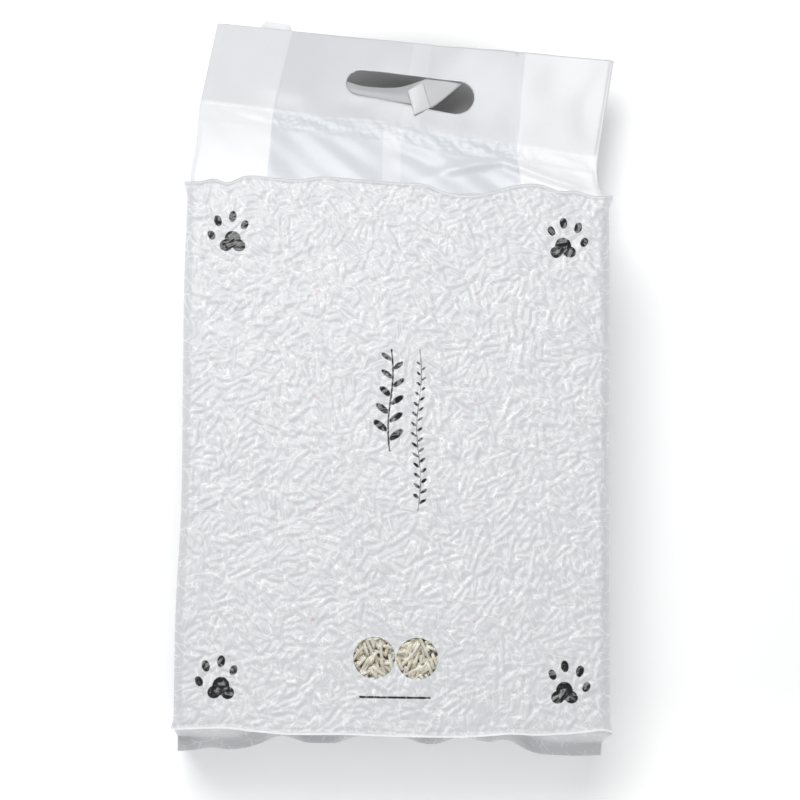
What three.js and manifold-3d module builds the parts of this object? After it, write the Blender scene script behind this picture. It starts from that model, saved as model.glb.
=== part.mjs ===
// A vacuum-packed bag of pelleted cat litter, lying on its back.
// The bag is one gusseted tube of film, shrunk hard round a brick of pellets. At the
// head the tube is flattened into a carrying header with a punched handle slot, and at
// the foot it is flattened into a short seal fin.
// Millimetres. The origin is the middle of the back panel, +Y runs to the header and +Z
// points out of the printed front.
import * as THREE from "three";
import { mergeVertices } from "three/addons/utils/BufferGeometryUtils.js";
import Module from "manifold-3d";

// The brick of litter inside the film
const BRICK_WIDTH = 220;
const BRICK_LENGTH = 285;
const BRICK_DEPTH = 80;
const CORNER_RADIUS = 7;
const EDGE_ROUNDING = 4;
const FILM = 0.5;
const CLEARANCE = 0.3;

// The header, measured along the bag from the end face of the brick
const HEADER_ROOT_HEIGHT = 38;
const HEADER_LENGTH = 104;
const SEAL_DISTANCE = 46;
const HEADER_THICKNESS = 2;
const MOUTH_GAP = 0.4;
const SIDE_SEAM = 2;
const HEADER_TURN = THREE.MathUtils.degToRad(8);
const HEADER_DROOP = 17;
const HEADER_TWIST = 13;
const MOUTH_SKEW = 0.024;
const ROOT_FILLET = 7;

// The punched handle slot, and the slug of film still hanging in it
const SLOT_DISTANCE = 74;
const SLOT_LENGTH = 72;
const SLOT_WIDTH = 20;
const PUNCH_DEPTH = 20;
const SLUG_THICKNESS = 0.6;
const SLUG_WIDTH = 11;
const SLUG_FOLD = 12;
const SLUG_SLIP = 22;
const SLUG_HIDDEN = 5;

// The seal fin at the foot
const FIN_LENGTH = 9;
const FIN_THICKNESS = 1.6;
const FIN_SIDE_DROOP = THREE.MathUtils.degToRad(14);
const FIN_MIDDLE_DROOP = THREE.MathUtils.degToRad(62);
const GUSSET_WIDTH = BRICK_DEPTH / 2;

// The pinched lips of film along the two ends of the front panel
const LIP_REACH = 1.5;
const LIP_WAVE = 2;
const LIP_EAR = 3;
const LIP_THICKNESS = 1.2;
const LIP_ROOT = 10;

const ARC_STEPS = 6;
const HALF_WIDTH = BRICK_WIDTH / 2;
const HALF_LENGTH = BRICK_LENGTH / 2;

const wasm = await Module();
wasm.setup();

function solidFrom(geometry) {
  const bare = geometry.index ? geometry.toNonIndexed() : geometry.clone();
  bare.deleteAttribute("normal");
  bare.deleteAttribute("uv");
  const merged = mergeVertices(bare, 1e-4);
  return new wasm.Manifold(
    new wasm.Mesh({
      numProp: 3,
      vertProperties: merged.attributes.position.array,
      triVerts: new Uint32Array(merged.index.array),
    }),
  );
}

function meshFrom(solid, name, material) {
  const { vertProperties, triVerts } = solid.getMesh();
  const geometry = new THREE.BufferGeometry();
  geometry.setAttribute("position", new THREE.BufferAttribute(vertProperties, 3));
  geometry.setIndex(new THREE.BufferAttribute(triVerts, 1));
  geometry.computeVertexNormals();
  const mesh = new THREE.Mesh(geometry, material);
  mesh.name = name;
  return mesh;
}

// Moves every vertex of a flat-built geometry to where place(x, y, z) puts it.
function shaped(geometry, place) {
  const points = geometry.attributes.position;
  for (let i = 0; i < points.count; i++) {
    const spot = place(points.getX(i), points.getY(i), points.getZ(i));
    points.setXYZ(i, spot.x, spot.y, spot.z);
  }
  return geometry;
}

function roundedOutline(width, length, radius) {
  const [x, y] = [width / 2, length / 2];
  const outline = new THREE.Shape();
  outline.moveTo(x, y - radius);
  outline.absarc(x - radius, y - radius, radius, 0, Math.PI / 2);
  outline.absarc(-x + radius, y - radius, radius, Math.PI / 2, Math.PI);
  outline.absarc(-x + radius, -y + radius, radius, Math.PI, 1.5 * Math.PI);
  outline.absarc(x - radius, -y + radius, radius, 1.5 * Math.PI, 2 * Math.PI);
  return outline;
}

// The brick with its edges rounded, set in by inset on every side.
function brick(inset) {
  const edge = EDGE_ROUNDING - inset;
  const core = roundedOutline(
    BRICK_WIDTH - 2 * EDGE_ROUNDING,
    BRICK_LENGTH - 2 * EDGE_ROUNDING,
    CORNER_RADIUS - EDGE_ROUNDING,
  );
  const geometry = new THREE.ExtrudeGeometry(core, {
    depth: BRICK_DEPTH - 2 * EDGE_ROUNDING,
    bevelThickness: edge,
    bevelSize: edge,
    bevelSegments: 3,
    curveSegments: ARC_STEPS,
  });
  geometry.translate(0, 0, EDGE_ROUNDING);
  return solidFrom(geometry);
}

// Where the header holds a point: across is measured from its centre line, along from
// the end face of the brick, and above from the middle of its thickness. The header
// leaves the brick square, swings to HEADER_TURN by the seal, and sags and twists. Its
// mouth is cut a little askew.
function onHeader(across, along, above) {
  const past = Math.max(along - SEAL_DISTANCE, 0);
  const skew = (MOUTH_SKEW * across * past) / (HEADER_LENGTH - SEAL_DISTANCE);
  const turn = HEADER_TURN * THREE.MathUtils.smoothstep(along, 0, SEAL_DISTANCE);
  const out = THREE.MathUtils.clamp(along / HEADER_LENGTH, 0, 1);
  const twist = HEADER_TWIST * (across / HALF_WIDTH) * out ** 1.5;
  const reach = past + skew;
  return new THREE.Vector3(
    reach * Math.sin(HEADER_TURN) + across * Math.cos(turn),
    HALF_LENGTH + along - past + reach * Math.cos(HEADER_TURN) - across * Math.sin(turn),
    HEADER_ROOT_HEIGHT - HEADER_DROOP * out + twist + above,
  );
}

// A flat sheet between two distances from the brick, laid on the header's shape.
function headerSheet(width, start, end, thickness) {
  const sheet = new THREE.BoxGeometry(width, end - start, thickness, 16, 14, 1);
  sheet.translate(0, (start + end) / 2, 0);
  return solidFrom(shaped(sheet, onHeader));
}

function slotOutline(length, width) {
  const radius = width / 2;
  const reach = length / 2 - radius;
  const outline = new THREE.Shape();
  outline.absarc(reach, 0, radius, -Math.PI / 2, Math.PI / 2);
  outline.absarc(-reach, 0, radius, Math.PI / 2, 1.5 * Math.PI);
  return outline;
}

function handleSlot() {
  const geometry = new THREE.ExtrudeGeometry(slotOutline(SLOT_LENGTH, SLOT_WIDTH), {
    depth: PUNCH_DEPTH,
    bevelEnabled: false,
    curveSegments: 2 * ARC_STEPS,
  });
  geometry.translate(0, SLOT_DISTANCE, -PUNCH_DEPTH / 2);
  return solidFrom(shaped(geometry, onHeader));
}

// The film gathers from the end face of the brick into the root of the header.
function rootFillet() {
  const half = ROOT_FILLET + HEADER_THICKNESS / 2;
  const tip = HEADER_THICKNESS / 2;
  const reach = 2 * ROOT_FILLET;
  const profile = new THREE.Shape();
  profile.moveTo(-CORNER_RADIUS, -half);
  profile.lineTo(0, -half);
  profile.quadraticCurveTo(ROOT_FILLET / 2, -tip, reach, -tip);
  profile.lineTo(reach, tip);
  profile.quadraticCurveTo(ROOT_FILLET / 2, tip, 0, half);
  profile.lineTo(-CORNER_RADIUS, half);
  const width = BRICK_WIDTH - 2 * CORNER_RADIUS;
  const geometry = new THREE.ExtrudeGeometry(profile, {
    depth: width,
    bevelEnabled: false,
    curveSegments: ARC_STEPS,
  });
  // The profile is drawn along and above, and its extrusion runs across.
  return solidFrom(
    shaped(geometry, (along, above, run) => onHeader(run - width / 2, along, above)),
  );
}

// The fin leaves the foot at mid-depth, nearly level where the gussets stiffen its two
// ends and curled down between them. Along is negative inside the brick.
function onFin(across, along, above) {
  const inside = THREE.MathUtils.smoothstep(
    HALF_WIDTH - Math.abs(across),
    GUSSET_WIDTH / 2,
    1.5 * GUSSET_WIDTH,
  );
  const droop =
    along < 0 ? 0 : THREE.MathUtils.lerp(FIN_SIDE_DROOP, FIN_MIDDLE_DROOP, inside);
  return new THREE.Vector3(
    across,
    -HALF_LENGTH - along * Math.cos(droop) + above * Math.sin(droop),
    HEADER_ROOT_HEIGHT - along * Math.sin(droop) - above * Math.cos(droop),
  );
}

function footFin() {
  const fin = new THREE.BoxGeometry(BRICK_WIDTH, 2 * FIN_LENGTH, FIN_THICKNESS, 30, 4, 1);
  return solidFrom(shaped(fin, onFin));
}

// A thin lip of film along one end of the front panel: a wavy edge between two ears.
function frontLip(end) {
  const edge = HALF_LENGTH + LIP_REACH;
  const crests = [-0.8, -0.5, -0.2, 0.15, 0.4, 0.7].map(
    (share, i) =>
      new THREE.Vector2(share * HALF_WIDTH, edge + (i % 2 ? -LIP_WAVE / 2 : LIP_WAVE)),
  );
  const ear = new THREE.Vector2(HALF_WIDTH + LIP_EAR, HALF_LENGTH + LIP_EAR);
  const outline = new THREE.Shape();
  outline.moveTo(HALF_WIDTH - LIP_ROOT, HALF_LENGTH - LIP_ROOT);
  outline.quadraticCurveTo(HALF_WIDTH, HALF_LENGTH - LIP_EAR, ear.x, ear.y);
  outline.splineThru([
    new THREE.Vector2(HALF_WIDTH - LIP_EAR, edge),
    ...crests.slice().reverse(),
    new THREE.Vector2(-HALF_WIDTH + LIP_EAR, edge),
    new THREE.Vector2(-ear.x, ear.y),
  ]);
  outline.quadraticCurveTo(
    -HALF_WIDTH,
    HALF_LENGTH - LIP_EAR,
    -HALF_WIDTH + LIP_ROOT,
    HALF_LENGTH - LIP_ROOT,
  );
  const geometry = new THREE.ExtrudeGeometry(outline, {
    depth: LIP_THICKNESS,
    bevelEnabled: false,
    curveSegments: 4,
  });
  geometry.translate(0, 0, BRICK_DEPTH - LIP_THICKNESS - FILM);
  if (end < 0) geometry.rotateZ(Math.PI);
  return solidFrom(geometry);
}

// The film: everything outside, less the room for the litter, the mouth and the slot.
function bagFilm() {
  const inside = -2 * CORNER_RADIUS;
  const mouth = headerSheet(
    BRICK_WIDTH - 2 * SIDE_SEAM,
    inside,
    HEADER_LENGTH + CORNER_RADIUS,
    MOUTH_GAP,
  );
  return brick(0)
    .add(headerSheet(BRICK_WIDTH, inside, HEADER_LENGTH, HEADER_THICKNESS))
    .add(rootFillet())
    .add(footFin())
    .add(frontLip(1))
    .add(frontLip(-1))
    .subtract(brick(FILM))
    .subtract(mouth)
    .subtract(handleSlot());
}

// The punched slug of film: one leg lies along the slot, and the other is folded over
// and slips under the header past the slot's far edge.
function handleFlap() {
  const foot = -SLOT_WIDTH / 2 + CLEARANCE;
  const top = foot + SLUG_WIDTH;
  const hidden = SLOT_WIDTH / 2 + SLUG_HIDDEN;
  const start = -SLOT_LENGTH / 2 + SLOT_WIDTH / 2;
  const nick = start - SLUG_WIDTH / 2;
  const first = new THREE.Shape();
  first.moveTo(start, foot);
  first.lineTo(SLUG_FOLD, foot);
  first.lineTo(SLUG_FOLD, top);
  first.quadraticCurveTo(0, top, nick, foot + SLUG_WIDTH / 2);
  first.quadraticCurveTo(nick, foot, start, foot);
  const second = new THREE.Shape();
  second.moveTo(SLUG_FOLD - SLUG_WIDTH / 2, foot + CLEARANCE);
  second.lineTo(SLUG_FOLD, foot + CLEARANCE);
  second.lineTo(SLUG_FOLD + SLUG_SLIP, hidden);
  second.lineTo(SLUG_FOLD - CLEARANCE, hidden);
  const flat = { depth: SLUG_THICKNESS, bevelEnabled: false, curveSegments: ARC_STEPS };
  const leg = new THREE.ExtrudeGeometry(first, flat);
  const folded = new THREE.ExtrudeGeometry(second, flat);
  const under = HEADER_THICKNESS / 2 + CLEARANCE + SLUG_THICKNESS;
  const slope = under / (SLOT_WIDTH - SLUG_HIDDEN);
  const lie = (x, y, z) => onHeader(x, SLOT_DISTANCE + y, z - SLUG_THICKNESS / 2);
  const sink = (x, y, z) => lie(x, y, z - slope * (y - foot));
  return solidFrom(shaped(leg, lie)).add(solidFrom(shaped(folded, sink)));
}

const filmWhite = new THREE.MeshStandardMaterial({
  color: 0xe9ebee,
  roughness: 0.35,
  metalness: 0,
});
const pelletCream = new THREE.MeshStandardMaterial({
  color: 0xcfc4a9,
  roughness: 0.85,
  metalness: 0,
});
const slugWhite = new THREE.MeshStandardMaterial({
  color: 0xd9dbdd,
  roughness: 0.4,
  metalness: 0,
});

const litterBag = new THREE.Group();
litterBag.add(
  meshFrom(bagFilm(), "bag_film", filmWhite),
  meshFrom(brick(FILM + CLEARANCE), "litter_fill", pelletCream),
  meshFrom(handleFlap(), "handle_flap", slugWhite),
);

export default litterBag;
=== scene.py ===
# %% [markdown]
# # A vacuum-packed bag of cat litter
# The bag is a tube of white film with a tucked gusset down each side. The air has been drawn
# out of it, so the film is pulled hard against a brick of rod-shaped pellets, and every pellet
# shows through. One end is sealed into a flat header with a hand slot, the other into a short
# fin. This script loads the measured frame first, because every piece is made to fit in it.

# %% Load the frame
import functools
import math

import bmesh
import bpy
import numpy as np
from mathutils import Matrix, Vector


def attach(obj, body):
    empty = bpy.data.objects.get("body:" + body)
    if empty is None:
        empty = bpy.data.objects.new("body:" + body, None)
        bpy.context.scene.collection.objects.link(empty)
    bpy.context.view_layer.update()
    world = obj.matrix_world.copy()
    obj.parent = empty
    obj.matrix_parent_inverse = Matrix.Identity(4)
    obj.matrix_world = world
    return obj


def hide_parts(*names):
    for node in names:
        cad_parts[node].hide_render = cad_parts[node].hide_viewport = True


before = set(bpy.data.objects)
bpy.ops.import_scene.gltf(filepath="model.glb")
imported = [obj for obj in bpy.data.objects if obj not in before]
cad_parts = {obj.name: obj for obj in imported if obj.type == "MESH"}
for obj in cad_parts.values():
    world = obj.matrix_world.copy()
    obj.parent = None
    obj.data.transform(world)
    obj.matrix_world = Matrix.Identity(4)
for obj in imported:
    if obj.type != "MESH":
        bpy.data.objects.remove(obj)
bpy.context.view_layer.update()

MM = 0.001

# %% [markdown]
# ## Camera and light
# The bag is seen from almost straight above, from a good way off with a long lens, so its
# edges stay nearly parallel. The camera leans a little towards the foot and is rolled a
# little, as it would be in the hand of someone standing over the bag.

# %% Place the camera
LENS = 117
CAMERA_SPOT = Vector((-0.0359, -0.2686, 1.3909))
AIM = Vector((0.0030, 0.0374, 0.0400))
ROLL = math.radians(8.08)


def look_at(spot, aim, roll):
    """The turn that points a camera or light from spot to aim, rolled about its own axis."""
    facing = (aim - spot).to_track_quat("-Z", "Y").to_matrix().to_4x4()
    return Matrix.Translation(spot) @ facing @ Matrix.Rotation(roll, 4, "Z")


def add_object(name, data):
    """A new object in the scene that shows this camera, light or mesh."""
    made = bpy.data.objects.new(name, data)
    bpy.context.scene.collection.objects.link(made)
    return made


camera_data = bpy.data.cameras.new("camera")
camera_data.lens = LENS
camera = add_object("camera", camera_data)
camera.matrix_world = look_at(CAMERA_SPOT, AIM, ROLL)
bpy.context.scene.camera = camera
print("camera distance:", round((CAMERA_SPOT - AIM).length, 3), "m")

# %% [markdown]
# White film on a white floor shows its shape only by soft shading. A broad light high above
# the header picks out the pellets, a second fills in from the foot, and a plain grey-white
# world keeps the shadows open.

# %% Place the lights
KEY_SPOT = (-0.28, 0.68, 1.48)
FILL_SPOT = (0.35, -1.3, 0.8)
LIGHT_SIZE = 1.0
KEY_POWER = 19
FILL_POWER = 4
WORLD_COLOUR = (0.97, 0.985, 1.0, 1)
WORLD_STRENGTH = 0.30


def soft_light(name, spot, size, power):
    """A square area light at spot, pointed at the middle of the bag."""
    data = bpy.data.lights.new(name, "AREA")
    data.shape = "SQUARE"
    data.size = size
    data.energy = power
    add_object(name, data).matrix_world = look_at(Vector(spot), AIM, 0)


soft_light("key_light", KEY_SPOT, LIGHT_SIZE, KEY_POWER)
soft_light("fill_light", FILL_SPOT, LIGHT_SIZE, FILL_POWER)
world = bpy.data.worlds.new("studio")
world.use_nodes = True
background = world.node_tree.nodes["Background"]
background.inputs["Color"].default_value = WORLD_COLOUR
background.inputs["Strength"].default_value = WORLD_STRENGTH
bpy.context.scene.world = world
bpy.context.scene.view_settings.view_transform = "Standard"

# %% [markdown]
# ## The pellets under the film
# Litter pellets are cut rods about 2.2 mm thick and 3 to 14 mm long. Those against the film
# lie flat in it, side by side in small drifts, and more fill the gaps a little deeper. The
# film bridges from rod to rod. Simulating thousands of rods would take too long, so the same
# result is worked out as a height map: rods are dropped one at a time on a fine raster, each
# at the freest of a few random spots. The raster repeats, so one map serves every face.

# %% Drop the pellets on a raster
CELL = 0.4
MAP_WIDTH = 320.0
MAP_LENGTH = 300.0
TURNS = 30
PELLET_LENGTHS = (14, 11, 9, 7.5, 6, 5, 4, 3)
PELLET_TRIES = (150, 330, 600, 900, 1100, 1200, 1200, 900)
PELLET_RADIUS = 1.12
DEEP_PELLETS = 4200
DEEPEST = 2.6
NO_ROD = 9.0
LINE_REACH = 1.35
LINE_AT, LINE_SOFTNESS = 0.95, 0.40
SPOTS_TRIED = 24
ROOM_NEEDED = 0.9
map_shape = (int(MAP_WIDTH / CELL), int(MAP_LENGTH / CELL))
dice = np.random.default_rng(7)


def hump(x, middle, width):
    """1 at the middle, falling smoothly to nearly 0 two widths away."""
    return np.exp(-(((x - middle) / width) ** 2))


def rod_stencil(length, turn):
    """The raster cells under one rod and round it, with its depth and its two edge lines."""
    reach = int((length / 2 + 1.5 * PELLET_RADIUS) / CELL) + 2
    line = np.arange(-reach, reach + 1) * CELL
    x, y = np.meshgrid(line, line, indexing="ij")
    along = x * np.cos(turn) + y * np.sin(turn)
    side = y * np.cos(turn) - x * np.sin(turn)
    past = np.maximum(np.abs(along) - (length / 2 - PELLET_RADIUS / 2), 0)
    away = np.hypot(past, side)
    i, j = np.nonzero(away < LINE_REACH * PELLET_RADIUS)
    away = away[i, j]
    solid = away < PELLET_RADIUS
    round_top = PELLET_RADIUS - np.sqrt(np.maximum(PELLET_RADIUS**2 - away**2, 0))
    return {
        "cells": (i - reach, j - reach),
        "solid": solid,
        "depth": np.where(solid, round_top, NO_ROD),
        "along": along[i, j] / length,
        "edge": hump(away, LINE_AT * PELLET_RADIUS, LINE_SOFTNESS),
        "left": side[i, j] > 0,
    }


turns = np.arange(TURNS) * np.pi / TURNS
stencils = [[rod_stencil(length, turn) for turn in turns] for length in PELLET_LENGTHS]
rod_depth = np.full(map_shape, NO_ROD)
edge_lines = np.zeros(map_shape)
free = np.ones(map_shape, bool)
pellets = []


def drop_pellet(size, turn, i, j, base, tilt):
    """Marks one rod on the raster, its top at base mm and tilted, and remembers it."""
    rod = stencils[size][turn]
    rows = (i + rod["cells"][0]) % map_shape[0]
    columns = (j + rod["cells"][1]) % map_shape[1]
    was_free = free[rows, columns]
    depth = base + rod["depth"] + tilt * rod["along"]
    rod_depth[rows, columns] = np.minimum(rod_depth[rows, columns], depth)
    sides = dice.uniform(0, 1.25, 2)
    wobble = 0.75 + 0.5 * dice.uniform(-1, 1) * rod["along"]
    line = rod["edge"] * np.where(rod["left"], *sides) * wobble
    kept = edge_lines[rows, columns]
    edge_lines[rows, columns] = np.where(was_free, np.maximum(kept, line), kept)
    free[rows[rod["solid"]], columns[rod["solid"]]] = False
    pellets.append((i * CELL, j * CELL, turns[turn], PELLET_LENGTHS[size], base, tilt))


for size, tries in enumerate(PELLET_TRIES):
    for attempt in range(tries):
        if attempt % 60 == 0:
            gaps = np.argwhere(free)
        turn = dice.integers(TURNS)
        rod = stencils[size][turn]
        spots = gaps[dice.integers(len(gaps), size=SPOTS_TRIED)]
        rows = (spots[:, :1] + rod["cells"][0][rod["solid"]]) % map_shape[0]
        columns = (spots[:, 1:] + rod["cells"][1][rod["solid"]]) % map_shape[1]
        room = free[rows, columns].mean(axis=1)
        best = room.argmax()
        if room[best] > ROOM_NEEDED:
            base, tilt = dice.uniform(0, 0.45), dice.uniform(-0.5, 0.5)
            drop_pellet(size, turn, *spots[best], base, tilt)
print("flat pellets:", len(pellets), "covering", round(1 - free.mean(), 2))

for attempt in range(DEEP_PELLETS):
    if attempt % 100 == 0:
        gaps = np.argwhere(free)
    size, turn = dice.integers(1, 7), dice.integers(TURNS)
    spot = gaps[dice.integers(len(gaps))]
    drop_pellet(size, turn, *spot, dice.uniform(0.5, 1.3), dice.uniform(-1.2, 1.2))
rod_depth = np.minimum(rod_depth, DEEPEST)
print("all pellets:", len(pellets), "covering", round(1 - free.mean(), 2))

# %% [markdown]
# The film can't follow a rod all the way round: it is tight, so it bridges the gaps, and the
# vacuum pulls it in only a little between them. Letting every cell sink a hair below the mean
# of its neighbours, and stopping it at the rods, is how a stretched skin behaves. Along the
# sides of many rods the spare film is nipped up into a fine crease.

# %% Stretch the film over them
SUCTION = 0.03
STRETCH_ROUNDS = 50
CREASE_HEIGHT = 0.12


def neighbour_mean(field):
    """The mean of each cell's four neighbours, on the repeating raster."""
    return (
        np.roll(field, 1, 0) + np.roll(field, -1, 0)
        + np.roll(field, 1, 1) + np.roll(field, -1, 1)
    ) / 4


film_depth = np.zeros(map_shape)
for _ in range(STRETCH_ROUNDS):
    film_depth = np.minimum(rod_depth, neighbour_mean(film_depth) + SUCTION)
film_depth = (film_depth + neighbour_mean(film_depth)) / 2
crease_map = 0.85 * edge_lines + 0.15 * neighbour_mean(edge_lines)
film_depth -= CREASE_HEIGHT * crease_map
print("film depth: mean", round(film_depth.mean(), 2), "most", round(film_depth.max(), 2))

# %% [markdown]
# Real pellets aren't quite straight, and the film drags its creases a little. Reading the map
# through a slow, wavy shift bends every line by about a millimetre. The shift fades out
# round the windows, where the real pellets below have to match their prints in the film.

# %% Read the map anywhere
BEND = 0.45
WINDOWS = ((-9.7, -105.4), (12.2, -105.6))
WINDOW_RADIUS = 10.6
WINDOW_MIDDLE = (1.2, -105.5)


def smooth(x, low, high):
    """0 below low, 1 above high, and an even S-curve between them."""
    t = np.clip((x - low) / (high - low), 0, 1)
    return t * t * (3 - 2 * t)


def slow_waves(x, y, seed, length, count=7):
    """A smooth wandering value near -1 to 1, made of a few waves of about that length."""
    waves = np.random.default_rng(seed)
    total = np.zeros(np.broadcast(x, y).shape)
    for _ in range(count):
        turn, phase = waves.uniform(0, 2 * np.pi, 2)
        pitch = 2 * np.pi / (length * waves.uniform(0.7, 1.4))
        total += np.sin(pitch * (x * np.cos(turn) + y * np.sin(turn)) + phase)
    return total * np.sqrt(2 / count) / 1.6


def map_value(field, x, y):
    """The raster's value between its cells, at any x and y in millimetres."""
    i, j = x / CELL, y / CELL
    i0, j0 = np.floor(i).astype(int), np.floor(j).astype(int)
    di, dj = i - i0, j - j0
    i0, j0 = i0 % map_shape[0], j0 % map_shape[1]
    i1, j1 = (i0 + 1) % map_shape[0], (j0 + 1) % map_shape[1]
    near = field[i0, j0] * (1 - dj) + field[i0, j1] * dj
    far = field[i1, j0] * (1 - dj) + field[i1, j1] * dj
    return near * (1 - di) + far * di


def relief(x, y, windowed=False):
    """How deep the film lies, and how creased it is, at each point of a face."""
    bend = np.full(x.shape, BEND)
    if windowed:
        away = np.hypot(x - WINDOW_MIDDLE[0], y - WINDOW_MIDDLE[1])
        bend = BEND * smooth(away, 27, 40)
    warp_x = x + bend * slow_waves(x, y, 11, 13)
    warp_y = y + bend * slow_waves(x, y, 12, 13)
    return map_value(film_depth, warp_x, warp_y), map_value(crease_map, warp_x, warp_y)


# %% [markdown]
# ## Making film panels
# Every face of the bag is one sheet of film, so every panel starts as a flat grid, and each
# of its points is then moved to its place by a rule. Neighbouring panels share the same
# border rule. Those along the front have its count of points as well, and elsewhere the
# counts differ but the borders follow the same smooth curves. Each panel keeps where a point
# lay on the flat film as a UV map called lay_flat, and how creased it is, for the materials
# to read.

# %% Helpers for panels
def mesh_from(name, shape):
    """A named mesh made from a finished bmesh, which is freed."""
    mesh = bpy.data.meshes.new(name)
    shape.to_mesh(mesh)
    shape.free()
    return mesh


def smooth_shaded(mesh):
    """Sets every face of a mesh to smooth shading."""
    mesh.polygons.foreach_set("use_smooth", np.ones(len(mesh.polygons), bool))


def cut_away(mesh, gone):
    """Takes out the faces whose corners are all marked."""
    sheet = bmesh.new()
    sheet.from_mesh(mesh)
    inside = [face for face in sheet.faces if all(gone[p.index] for p in face.verts)]
    bmesh.ops.delete(sheet, geom=inside, context="FACES")
    sheet.to_mesh(mesh)
    sheet.free()


def film_panel(name, columns, rows, place, material, flip=False, cut=None):
    """A grid of film moved to its place. place(u, v) gives x, y, z, flat x, flat y, crease.
    cut(u, v) may nudge grid points onto an outline, and tells which to cut away."""
    sheet = bmesh.new()
    bmesh.ops.create_grid(sheet, x_segments=columns, y_segments=rows, size=0.5)
    if flip:
        bmesh.ops.reverse_faces(sheet, faces=sheet.faces)
    mesh = mesh_from(name, sheet)
    points = np.empty(len(mesh.vertices) * 3)
    mesh.vertices.foreach_get("co", points)
    u = np.round((points[0::3] + 0.5) * columns) / columns
    v = np.round((points[1::3] + 0.5) * rows) / rows
    if cut:
        u, v, gone = cut(u, v)
    x, y, z, flat_x, flat_y, crease = place(u, v)
    mesh.vertices.foreach_set("co", np.column_stack((x, y, z)).ravel() * MM)
    corner = np.empty(len(mesh.loops), int)
    mesh.loops.foreach_get("vertex_index", corner)
    flat = np.column_stack((flat_x, flat_y)) * MM
    mesh.uv_layers.new(name="lay_flat").data.foreach_set("uv", flat[corner].ravel())
    # The crease value is also a painted highlight: the materials lighten the film's colour with
    # it, and on the slug it carries a painted shade and light.
    layer = mesh.attributes.new("crease", "FLOAT", "POINT")
    layer.data.foreach_set("value", crease.astype(float))
    smooth_shaded(mesh)
    mesh.materials.append(material)
    if cut:
        cut_away(mesh, gone)
    mesh.update()
    panel = add_object(name, mesh)
    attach(panel, "root")
    print(name, len(mesh.polygons) * 2, "triangles")
    return panel

# %% [markdown]
# ## Finishes
# All the white film is one laminate, so its finish is built once, as a node group that each
# film material uses with its own colour. The film is satin and a little shinier where it is
# creased, with a highlight painted along its creases that lightens their colour, faint clouding
# and a fine drawn-out grain. Small helpers keep the node building short.

# %% Helpers for nodes
def feed(sockets, values):
    """Sets or links the sockets in order. A value of None leaves its socket alone."""
    for socket, value in zip(sockets, values):
        if isinstance(value, bpy.types.NodeSocket):
            socket.id_data.links.new(value, socket)
        elif value is not None:
            socket.default_value = value


def add_node(tree, kind, values=(), **settings):
    """A new node with its settings, and its inputs set or linked in order."""
    made = tree.nodes.new(kind)
    for key, value in settings.items():
        setattr(made, key, value)
    feed(made.inputs, values)
    return made


def tree_of(*values):
    """The node tree that the linked ones among some values belong to."""
    return next(v.id_data for v in values if isinstance(v, bpy.types.NodeSocket))


def calc(operation, *values):
    """One Math node's result."""
    return add_node(tree_of(*values), "ShaderNodeMath", values, operation=operation).outputs[0]


add, subtract, multiply, divide, multiply_add, larger, absolute, remainder = (
    functools.partial(calc, operation)
    for operation in ("ADD", "SUBTRACT", "MULTIPLY", "DIVIDE", "MULTIPLY_ADD", "MAXIMUM",
                      "ABSOLUTE", "FLOORED_MODULO"))


def blend_colours(share, first, second, mode="MIX"):
    """Two colours mixed by a share from 0 to 1."""
    mixer = add_node(tree_of(share, first, second), "ShaderNodeMix", data_type="RGBA",
                     blend_type=mode)
    feed((mixer.inputs[0], mixer.inputs[6], mixer.inputs[7]), (share, first, second))
    return mixer.outputs[2]


def rising(value, low, high):
    """0 where value is below low, 1 above high, smooth between."""
    return add_node(value.id_data, "ShaderNodeMapRange", (value, low, high),
                    interpolation_type="SMOOTHSTEP").outputs[0]


def noise(place, scale, detail, roughness):
    """A cloudy value from 0 to 1. The scale is in features per metre."""
    return add_node(place.id_data, "ShaderNodeTexNoise",
                    (place, None, scale, detail, roughness)).outputs[0]


def new_group(name, inputs, outputs):
    """An empty node group with named inputs, given as (name, kind, value), and outputs."""
    tree = bpy.data.node_groups.new(name, "ShaderNodeTree")
    for label, kind, value in inputs:
        socket = tree.interface.new_socket(label, in_out="INPUT",
                                           socket_type="NodeSocket" + kind)
        socket.default_value = value
    for label, kind in outputs:
        tree.interface.new_socket(label, in_out="OUTPUT", socket_type="NodeSocket" + kind)
    given = tree.nodes.new("NodeGroupInput").outputs
    results = tree.nodes.new("NodeGroupOutput").inputs
    return tree, given, results


def use_group(group, *values):
    """A group placed beside its inputs, which are set or linked in order."""
    made = add_node(tree_of(*values), "ShaderNodeGroup", node_tree=group)
    feed(made.inputs, values)
    return made


print("node helpers ready")

# %% Film finish, shared by every film material
CREASE_PATCHES = 95.0
CREASE_STRETCH = (290, 120, 0)
CREASE_CORE, CREASE_RIM = 0.03, 0.11
# The colour of the painted highlight along the film's creases.
CREASE_HIGHLIGHT = (0.97, 0.975, 0.98, 1)
CLOUD_SCALE = 38.0
GRAIN_SCALE = 900.0


def fine_creases(tree, place):
    """Thin straight creases, in small patches that each run their own way: a mask."""
    patch = add_node(tree, "ShaderNodeTexVoronoi", (place, None, CREASE_PATCHES),
                     voronoi_dimensions="2D").outputs["Color"]
    own_way = add_node(tree, "ShaderNodeSeparateColor", (patch,)).outputs[0]
    turned = add_node(tree, "ShaderNodeVectorRotate",
                      (place, None, None, multiply(own_way, math.pi)),
                      rotation_type="Z_AXIS").outputs[0]
    stretched = add_node(tree, "ShaderNodeVectorMath", (turned, CREASE_STRETCH),
                         operation="MULTIPLY").outputs[0]
    to_edge = add_node(tree, "ShaderNodeTexVoronoi", (stretched, None, 1.0),
                       voronoi_dimensions="2D", feature="DISTANCE_TO_EDGE").outputs[0]
    line = subtract(1.0, rising(to_edge, CREASE_CORE, CREASE_RIM))
    return multiply(line, rising(noise(place, 150.0, 2.0, 0.5), 0.38, 0.6))


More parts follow.
